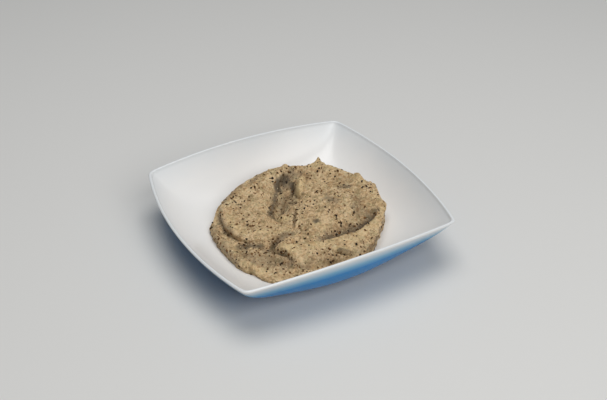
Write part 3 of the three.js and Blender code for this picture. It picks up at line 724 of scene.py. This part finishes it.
def bare_porcelain():
    """Unglazed porcelain, rubbed smooth after firing: matt, a little grey and faintly sandy."""
    material, tree = new_material("bare_porcelain")
    place = add_node(tree, "ShaderNodeTexCoord")
    sand = add_node(tree, "ShaderNodeTexNoise", {
        "Vector": place.outputs["Object"], "Scale": 1 / (0.9 * MM), "Detail": 3.0})
    ramp = add_node(tree, "ShaderNodeValToRGB", {"Fac": sand})
    set_ramp(ramp, [(0.3, linear("#b9b4a8")), (0.7, linear("#cfcabf"))])
    bump = add_node(tree, "ShaderNodeBump", {"Height": sand, "Strength": 0.4, "Distance": 0.08 * MM})
    shader = add_node(tree, "ShaderNodeBsdfPrincipled", {
        "Base Color": ramp, "Normal": bump, "Roughness": 0.85})
    add_node(tree, "ShaderNodeOutputMaterial", {"Surface": shader})
    return material


def potato_paste(settings):
    """Moist potato put through a ricer, with the grain left in.

    The eye gets a beige that drifts between straw, tan and olive, a fine pale grain, drier
    paler patches with painted light on the crests, and grey smears of the flecks' juice
    with painted shade in the creases and hollows and under overhangs.
    """
    material, tree = new_material("potato_paste")
    place = add_node(tree, "ShaderNodeTexCoord")
    drift, hue, grain, fine = (
        add_node(tree, "ShaderNodeTexNoise", {
            "Vector": place.outputs["Object"], "Scale": 1 / (length * MM), "Detail": detail,
            "Roughness": roughness})
        for length, detail, roughness in (
            (9, 3.0, 0.6), (3.5, 3.0, 0.55), (1.7, 3.0, 0.65), (1.0, 4.0, 0.72)))
    both = add_node(tree, "ShaderNodeMix", {"Factor": 0.62, "A": drift, "B": grain})
    ramp = add_node(tree, "ShaderNodeValToRGB", {"Fac": both})
    set_ramp(ramp, [(0.415, settings.paste_dark), (0.5, settings.paste_mid),
                    (0.585, settings.paste_light)])
    tint = add_node(tree, "ShaderNodeValToRGB", {"Fac": hue})
    set_ramp(tint, [(0.36, settings.olive_colour), (0.5, settings.paste_mid),
                    (0.64, settings.tan_colour)])
    # Drier, paler paste with painted light on the crests and edges.
    pale = add_node(tree, "ShaderNodeAttribute", attribute_name="pale")
    pale_breakup = add_node(tree, "ShaderNodeMapRange", {
        "Value": grain, "From Min": 0.35, "From Max": 0.6, "To Min": 0.35, "To Max": 1.0})
    paler = add_node(tree, "ShaderNodeMath", {0: pale.outputs["Fac"], 1: pale_breakup}, operation="MULTIPLY")
    # Painted shade in the creases and hollows, with the flecks' dark juice.
    smear = add_node(tree, "ShaderNodeAttribute", attribute_name="smear")
    colour = ramp
    for share, over in ((0.42, tint), (paler, (*settings.pale_colour, 1)),
                        (smear.outputs["Fac"], (*settings.smear_and_shade_colour, 1))):
        colour = add_node(tree, "ShaderNodeMix", {
            "Factor": share, "A": colour, "B": over}, data_type="RGBA").outputs["Result"]
    bump = add_node(tree, "ShaderNodeBump", {"Height": fine, "Strength": 0.8, "Distance": 0.6 * MM})
    wet = add_node(tree, "ShaderNodeMapRange", {"Value": grain, "To Min": 0.42, "To Max": 0.75})
    shader = add_node(tree, "ShaderNodeBsdfPrincipled", {
        "Base Color": colour, "Normal": bump, "Roughness": wet, "IOR": 1.4,
        "Subsurface Weight": 0.12, "Subsurface Scale": 1.5 * MM, "Subsurface Radius": (1.0, 0.6, 0.3)})
    add_node(tree, "ShaderNodeOutputMaterial", {"Surface": shader})
    return material


def potato_grain(settings):
    """Undercooked crumbs of potato: paler and drier than the paste, waxy at their edges."""
    material, tree = new_material("potato_grain")
    place = add_node(tree, "ShaderNodeTexCoord")
    patch = add_node(tree, "ShaderNodeTexNoise", {
        "Vector": place.outputs["Object"], "Scale": 1 / (1.6 * MM), "Detail": 2.0})
    ramp = add_node(tree, "ShaderNodeValToRGB", {"Fac": patch})
    set_ramp(ramp, [(0.35, settings.shaded_colour), (0.62, settings.pale_colour)])
    shader = add_node(tree, "ShaderNodeBsdfPrincipled", {
        "Base Color": ramp, "Roughness": 0.45, "IOR": 1.4})
    add_node(tree, "ShaderNodeOutputMaterial", {"Surface": shader})
    return material


def fleck_skin(settings):
    """Chopped dark skin and cracked pepper: near-black, dull, a little brown in places."""
    material, tree = new_material("dark_fleck")
    place = add_node(tree, "ShaderNodeTexCoord")
    patch = add_node(tree, "ShaderNodeTexNoise", {
        "Vector": place.outputs["Object"], "Scale": 1 / (2.2 * MM), "Detail": 2.0})
    ramp = add_node(tree, "ShaderNodeValToRGB", {"Fac": patch})
    set_ramp(ramp, [(0.42, settings.dark_colour), (0.6, settings.brown_colour)])
    shader = add_node(tree, "ShaderNodeBsdfPrincipled", {
        "Base Color": ramp, "Roughness": 0.8, "IOR": 1.35})
    add_node(tree, "ShaderNodeOutputMaterial", {"Surface": shader})
    return material


# ---- scattering

# Least and most of a chip's size along, across and up, and how far it may tilt.
CHIP_LEAST, CHIP_MOST, CHIP_TILT = (0.6, 0.3, 0.5), (1.0, 0.8, 1.0), 0.35


def scatter_tree(name, material):
    """Geometry Nodes that scatter small chips over a surface, lying on it."""
    tree = bpy.data.node_groups.new(name, "GeometryNodeTree")
    tree.is_modifier = True
    face = tree.interface
    face.new_socket("Geometry", in_out="INPUT", socket_type="NodeSocketGeometry")
    for label in ("Density", "Smallest", "Largest", "Rarity", "Flatness", "Sink", "Seed"):
        kind = "NodeSocketInt" if label == "Seed" else "NodeSocketFloat"
        face.new_socket(label, in_out="INPUT", socket_type=kind)
    face.new_socket("Geometry", in_out="OUTPUT", socket_type="NodeSocketGeometry")
    given = add_node(tree, "NodeGroupInput").outputs
    thick = add_node(tree, "GeometryNodeInputNamedAttribute", {"Name": "crowding"})
    density = add_node(tree, "ShaderNodeMath", {0: given["Density"], 1: thick}, operation="MULTIPLY")
    points = add_node(tree, "GeometryNodeDistributePointsOnFaces", {
        "Mesh": given["Geometry"], "Density": density, "Seed": given["Seed"]})
    chip = add_node(tree, "GeometryNodeMeshIcoSphere", {"Radius": 1.0, "Subdivisions": 1})
    chance = add_node(tree, "FunctionNodeRandomValue", {"Seed": given["Seed"]})
    rare = add_node(tree, "ShaderNodeMath", {
        0: chance.outputs[1], 1: given["Rarity"]}, operation="POWER")
    size = add_node(tree, "ShaderNodeMapRange", {
        "Value": rare, "To Min": given["Smallest"], "To Max": given["Largest"]})
    shape = add_node(tree, "FunctionNodeRandomValue", {
        0: CHIP_LEAST, 1: CHIP_MOST, "Seed": given["Seed"]}, data_type="FLOAT_VECTOR")
    flat = add_node(tree, "ShaderNodeCombineXYZ", {"X": 1.0, "Y": 1.0, "Z": given["Flatness"]})
    shaped = add_node(tree, "ShaderNodeVectorMath", {0: shape, 1: flat}, operation="MULTIPLY")
    scale = add_node(tree, "ShaderNodeVectorMath", {0: shaped, "Scale": size}, operation="SCALE")
    spin = add_node(tree, "FunctionNodeRandomValue", {
        0: (-CHIP_TILT, -CHIP_TILT, 0), 1: (CHIP_TILT, CHIP_TILT, 2 * math.pi),
        "Seed": given["Seed"]}, data_type="FLOAT_VECTOR")
    turn = add_node(tree, "FunctionNodeRotateRotation", {
        "Rotation": points.outputs["Rotation"], "Rotate By": spin}, rotation_space="LOCAL")
    chips = add_node(tree, "GeometryNodeInstanceOnPoints", {
        "Points": points, "Instance": chip, "Rotation": turn, "Scale": scale})
    depth = add_node(tree, "ShaderNodeMath", {0: given["Sink"], 1: size}, operation="MULTIPLY")
    down = add_node(tree, "ShaderNodeCombineXYZ", {"Z": depth})
    sunk = add_node(tree, "GeometryNodeTranslateInstances", {"Instances": chips, "Translation": down})
    real = add_node(tree, "GeometryNodeRealizeInstances", {"Geometry": sunk})
    painted = add_node(tree, "GeometryNodeSetMaterial", {"Geometry": real, "Material": material})
    add_node(tree, "NodeGroupOutput", {"Geometry": painted})
    return tree


def scatter(name, surface, crowding, material, inputs):
    """Runs the scatter over a copy of a surface and keeps what it makes as one plain mesh."""
    bed = new_object(name + "_bed", surface.data.copy())
    give_attribute(bed, "crowding", crowding)
    tree = scatter_tree(name, material)
    modifier = bed.modifiers.new(name, "NODES")
    modifier.node_group = tree
    for item in tree.interface.items_tree:
        if item.in_out == "INPUT" and item.name in inputs:
            modifier[item.identifier] = inputs[item.name]
    evaluated = bed.evaluated_get(bpy.context.evaluated_depsgraph_get())
    mesh = bpy.data.meshes.new_from_object(evaluated)
    mesh.name = name
    bed.modifiers.clear()
    bpy.data.objects.remove(bed)
    return new_object(name, mesh)


# ---- settings

def colour_setting(name, description, colour):
    """A colour that a user may change; its default is given as an sRGB hex."""
    return FloatVectorProperty(name=name, description=description, subtype="COLOR",
                               default=linear(colour), min=0, max=1)


def length_setting(name, description, millimetres):
    """A length that a user may change; its default is given in millimetres."""
    return FloatProperty(name=name, description=description, default=millimetres * MM,
                         min=0, unit="LENGTH")


def density_setting(name, what, number):
    """A density that a user may change; its description starts with what is counted."""
    description = what + " on each square metre where they lie thickest"
    return FloatProperty(name=name, description=description, default=number, min=0)


class BowlSettings(bpy.types.PropertyGroup):
    glaze_white: colour_setting("White", "Glaze inside and at the rim", "#eae9e7")
    # The painted reflection of a blue surface below the bowl: thin near the rim, full low down the
    # outside.
    thin_reflected_blue: colour_setting("Thin blue", "Glaze where the sprayed blue thins out", "#71aecf")
    reflected_blue: colour_setting("Blue", "Glaze low down the outside", "#0080c4")
    glaze_roughness: FloatProperty(
        name="Roughness", description="Roughness of the glaze", subtype="FACTOR",
        default=0.26, min=0, max=1)


class MashSettings(bpy.types.PropertyGroup):
    paste_dark: colour_setting("Dark paste", "Darker drifts in the paste", "#80643e")
    paste_mid: colour_setting("Paste", "Most of the paste", "#bfa37c")
    paste_light: colour_setting("Light paste", "Paler grain in the paste", "#e4cba2")
    olive_colour: colour_setting("Olive", "Greener drifts in the paste", "#9d9168")
    tan_colour: colour_setting("Tan", "Warmer drifts in the paste", "#bf9a6c")
    # Colour of the drier paste and of the painted light on the crests and edges.
    pale_colour: colour_setting("Pale", "Drier paste on the crests", "#d6bd8d")
    # Colour of the flecks' juice and of the painted shade in creases and hollows.
    smear_and_shade_colour: colour_setting("Smear", "Grey that bleeds from the flecks", "#4a4032")


class FleckSettings(bpy.types.PropertyGroup):
    dark_colour: colour_setting("Black", "Most of the flecks", "#1c1209")
    brown_colour: colour_setting("Brown", "The paler flecks", "#6e4c28")
    smallest: length_setting("Smallest", "Half the length of the smallest chip", 0.4)
    largest: length_setting("Largest", "Half the length of the largest chip", 1.5)
    density: density_setting("Density", "Chips", 165000)
    pepper_density: density_setting("Pepper", "Grains of pepper", 260000)
    seed: IntProperty(name="Seed", description="Which scatter is drawn", default=11)


class GrainSettings(bpy.types.PropertyGroup):
    pale_colour: colour_setting("Pale", "Lit side of the crumbs", "#e4d2aa")
    shaded_colour: colour_setting("Shaded", "Moister crumbs", "#c0a26f")
    smallest: length_setting("Smallest", "Half the length of the smallest crumb", 0.25)
    largest: length_setting("Largest", "Half the length of the largest crumb", 0.6)
    density: density_setting("Density", "Crumbs", 700000)
    seed: IntProperty(name="Seed", description="Which scatter is drawn", default=23)


class StageSettings(bpy.types.PropertyGroup):
    floor_colour: colour_setting("Floor", "The floor's colour", "#d9d8d5")
    key_power: FloatProperty(
        name="Key", description="Power of the soft light from the front right", default=7.4,
        min=0, unit="POWER")
    top_power: FloatProperty(
        name="Top", description="Power of the soft light from above", default=8.8,
        min=0, unit="POWER")
    sky: FloatProperty(
        name="Sky", description="Strength of the even light from all round", default=0.2, min=0)


SETTINGS = {
    "potato_bowl": BowlSettings,
    "potato_mash": MashSettings,
    "potato_flecks": FleckSettings,
    "potato_grains": GrainSettings,
    "potato_stage": StageSettings,
}


# ---- the pieces

def seat(piece, slot, *nodes):
    """Puts a piece on the part's one body, in place of the named solids."""
    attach(piece, BODY)
    if nodes:
        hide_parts(*nodes)


class POTATO_OT_bowl(bpy.types.Operator):
    """Builds the square glazed bowl"""

    bl_idname = "potato.bowl"
    bl_label = "Bowl"

    def execute(self, context):
        points, faces, depths = bowl_shell()
        bowl = new_piece("glazed_bowl", points, faces, glazed_porcelain(context.scene.potato_bowl))
        # Share of the painted blue reflection at each point.
        give_attribute(bowl, "below_rim", depths)
        bowl.data.materials.append(bare_porcelain())
        for face in bowl.data.polygons:
            if all(bowl.data.vertices[v].co.z < BARE_FACE_TOP * MM for v in face.vertices):
                face.material_index = 1
        seat(bowl, "bowl_glaze", "bowl")
        return {"FINISHED"}


class POTATO_OT_mash(bpy.types.Operator):
    """Builds the spooned heap of mashed potato"""

    bl_idname = "potato.mash"
    bl_label = "Mash"

    def execute(self, context):
        rings = range(1, MASH_RINGS + 1)
        ring = np.concatenate([[0]] + [np.full(6 * r, r) for r in rings])
        place = np.concatenate([[0]] + [np.arange(6 * r) / (6 * r) for r in rings])
        x, y, z = mash_skin(2 * math.pi * place, ring / MASH_RINGS)
        points, faces = close_below(np.column_stack([x, y, z]), ring_faces(MASH_RINGS).tolist())
        mash = new_piece("mash_heap", points, faces, potato_paste(context.scene.potato_mash))
        # The heap keeps its mask of painted shade with juice, and its mask of pale paste with painted
        # light.
        for name, cover in (("smear", shade_and_juice(x, y, z)), ("pale", patches(PALE_AND_LIT_PATCHES, x, y))):
            give_attribute(mash, name, np.pad(cover, (0, len(points) - len(cover))))
        seat(mash, "mash_paste", "mash")
        return {"FINISHED"}


# How a kind of chip lies on the heap. Its patches are noise of that length, in which its share
# of the density is the base plus the gain times the noise, and never under the least. Rarity
# is how rare its large ones are, and its sink is down into the paste, as a share of its size.
Chips = namedtuple("Chips", "length base gain least rarity flatness sink")
FLECKS = Chips(13, 0.4, 0.9, least=0.12, rarity=1.9, flatness=0.5, sink=0.05)
PEPPER = FLECKS._replace(rarity=1)
GRAINS = Chips(9, 0.25, 1.6, least=0.05, rarity=1.5, flatness=0.6, sink=0.25)
PEPPER_SMALLEST = 0.1  # half the length of the smallest grain of pepper
PALE_GRAINS = 0.5  # how much more of the crumbs lie in the pale patches with painted light
CLEAR_OF_GLAZE = 1  # no chip lies lower than this over the glaze


def heap_points():
    """The built heap and its points in millimetres."""
    mash = bpy.data.objects.get("mash_heap")
    if mash is None:
        raise RuntimeError("this lies on the mash, so build the mash first")
    points = np.empty(len(mash.data.vertices) * 3)
    mash.data.vertices.foreach_get("co", points)
    return mash, *(points.reshape(-1, 3).T / MM)


def strew(name, kind, patch, density, sizes, seed, material, slot):
    """Scatters one kind of chip over the heap, thick where the patches are, and seats it."""
    mash, x, y, z = heap_points()
    showing = np.where(z > inner_height(x, y) + CLEAR_OF_GLAZE, 1.0, 0.0)
    crowding = showing * np.clip(kind.base + kind.gain * patch, kind.least, 1)
    seat(scatter(name, mash, crowding, material, {
        "Density": density, "Smallest": sizes[0], "Largest": sizes[1], "Seed": seed,
        "Rarity": kind.rarity, "Flatness": kind.flatness, "Sink": -kind.sink}), slot)


class POTATO_OT_flecks(bpy.types.Operator):
    """Scatters the dark chips and the finer pepper over the heap"""

    bl_idname = "potato.flecks"
    bl_label = "Flecks"

    def execute(self, context):
        settings = context.scene.potato_flecks
        seed, material = settings.seed, fleck_skin(settings)
        _, x, y, z = heap_points()
        # Flecks crowd where the painted shade and juice lie thick.
        gathered = paste_noise(x, y, FLECKS.length, seed) + shade_and_juice(x, y, z)
        for name, kind, density, sizes in (
                ("dark_flecks", FLECKS, settings.density, (settings.smallest, settings.largest)),
                ("ground_pepper", PEPPER, settings.pepper_density,
                 (PEPPER_SMALLEST * MM, settings.smallest))):
            strew(name, kind, gathered, density, sizes, seed, material, "dark_flecks")
        return {"FINISHED"}


class POTATO_OT_grains(bpy.types.Operator):
    """Scatters pale crumbs of potato over the heap"""

    bl_idname = "potato.grains"
    bl_label = "Grains"

    def execute(self, context):
        settings = context.scene.potato_grains
        _, x, y, z = heap_points()
        patch = paste_noise(x, y, GRAINS.length, settings.seed)
        # Crumbs crowd in the pale patches with painted light, and thin out under the painted shade.
        patch = patch + PALE_GRAINS * patches(PALE_AND_LIT_PATCHES, x, y) - shade_and_juice(x, y, z)
        strew("pale_grains", GRAINS, patch, settings.density, (settings.smallest, settings.largest),
              settings.seed, potato_grain(settings), "mash_paste")
        return {"FINISHED"}


# ---- the stage

CAMERA_AZIMUTH = math.radians(-28.984)
CAMERA_ELEVATION = math.radians(33.859)
CAMERA_DISTANCE = 656.1
CAMERA_TARGET = (2.1, -5.9, CORNER_HEIGHT)
CAMERA_LENS, SENSOR_WIDTH = 59.25, 36
FLOOR_HALF = 3000
SKY_COLOUR = "#e8ecf0"
# The soft lights: how wide, and how far right of the part, beyond it and up, in metres.
LIGHTS = {"key": (0.8, (0.5, -0.85, 0.85)), "top": (0.9, (0, 0.05, 1.3))}


def look_back(azimuth, elevation):
    """Unit vector from a target towards a viewer; azimuth 0 looks along +Y."""
    return Vector((math.sin(azimuth) * math.cos(elevation),
                   -math.cos(azimuth) * math.cos(elevation), math.sin(elevation)))


class POTATO_OT_stage(bpy.types.Operator):
    """Sets the floor, the lights and the camera"""

    bl_idname = "potato.stage"
    bl_label = "Stage"

    def execute(self, context):
        scene, settings = context.scene, context.scene.potato_stage
        material, tree = new_material("painted_board")
        shader = add_node(tree, "ShaderNodeBsdfPrincipled", {
            "Base Color": (*settings.floor_colour, 1), "Roughness": 0.8})
        add_node(tree, "ShaderNodeOutputMaterial", {"Surface": shader})
        corners = [(x * FLOOR_HALF, y * FLOOR_HALF, 0)
                   for x, y in ((-1, -1), (1, -1), (1, 1), (-1, 1))]
        new_piece("floor", corners, [(0, 1, 2, 3)], material, smooth=False)

        right = Vector((math.cos(CAMERA_AZIMUTH), math.sin(CAMERA_AZIMUTH), 0))
        away = Vector((-math.sin(CAMERA_AZIMUTH), math.cos(CAMERA_AZIMUTH), 0))
        for name, (size, (beside, beyond, height)) in LIGHTS.items():
            light = bpy.data.lights.new(name, "AREA")
            light.size, light.energy = size, getattr(settings, name + "_power")
            place = right * beside + away * beyond + Vector((0, 0, height))
            lamp = new_object(name, light)
            lamp.location = place
            lamp.rotation_euler = place.to_track_quat("Z", "Y").to_euler()

        world = bpy.data.worlds.new("sky")
        world.use_nodes = True
        background = world.node_tree.nodes["Background"]
        background.inputs["Color"].default_value = (*linear(SKY_COLOUR), 1)
        background.inputs["Strength"].default_value = settings.sky
        scene.world = world

        back = look_back(CAMERA_AZIMUTH, CAMERA_ELEVATION)
        data = bpy.data.cameras.new("camera")
        data.sensor_width, data.lens = SENSOR_WIDTH, CAMERA_LENS
        camera = new_object("camera", data)
        camera.location = (Vector(CAMERA_TARGET) + back * CAMERA_DISTANCE) * MM
        camera.rotation_euler = back.to_track_quat("Z", "Y").to_euler()
        scene.camera = camera
        scene.view_settings.view_transform = "Standard"
        return {"FINISHED"}


class POTATO_PT_side(bpy.types.Panel):
    """Lists the pieces and their settings"""

    bl_label = "Mashed Potato Side"
    bl_space_type = "VIEW_3D"
    bl_region_type = "UI"
    bl_category = "Potato"

    def draw(self, context):
        for operator in OPERATORS:
            self.layout.operator(operator.bl_idname)
        for name, group in SETTINGS.items():
            column = self.layout.column()
            for setting in group.__annotations__:
                column.prop(getattr(context.scene, name), setting)


OPERATORS = (POTATO_OT_bowl, POTATO_OT_mash, POTATO_OT_flecks, POTATO_OT_grains, POTATO_OT_stage)
CLASSES = (*SETTINGS.values(), *OPERATORS, POTATO_PT_side)


def register():
    for each in CLASSES:
        bpy.utils.register_class(each)
    for name, group in SETTINGS.items():
        setattr(bpy.types.Scene, name, PointerProperty(type=group))


def unregister():
    for name in SETTINGS:
        delattr(bpy.types.Scene, name)
    for each in reversed(CLASSES):
        bpy.utils.unregister_class(each)


def main():
    register()
    bpy.ops.potato.stage()
    bpy.ops.potato.bowl()
    bpy.ops.potato.mash()
    bpy.ops.potato.flecks()
    bpy.ops.potato.grains()


if __name__ == "__main__":
    main()
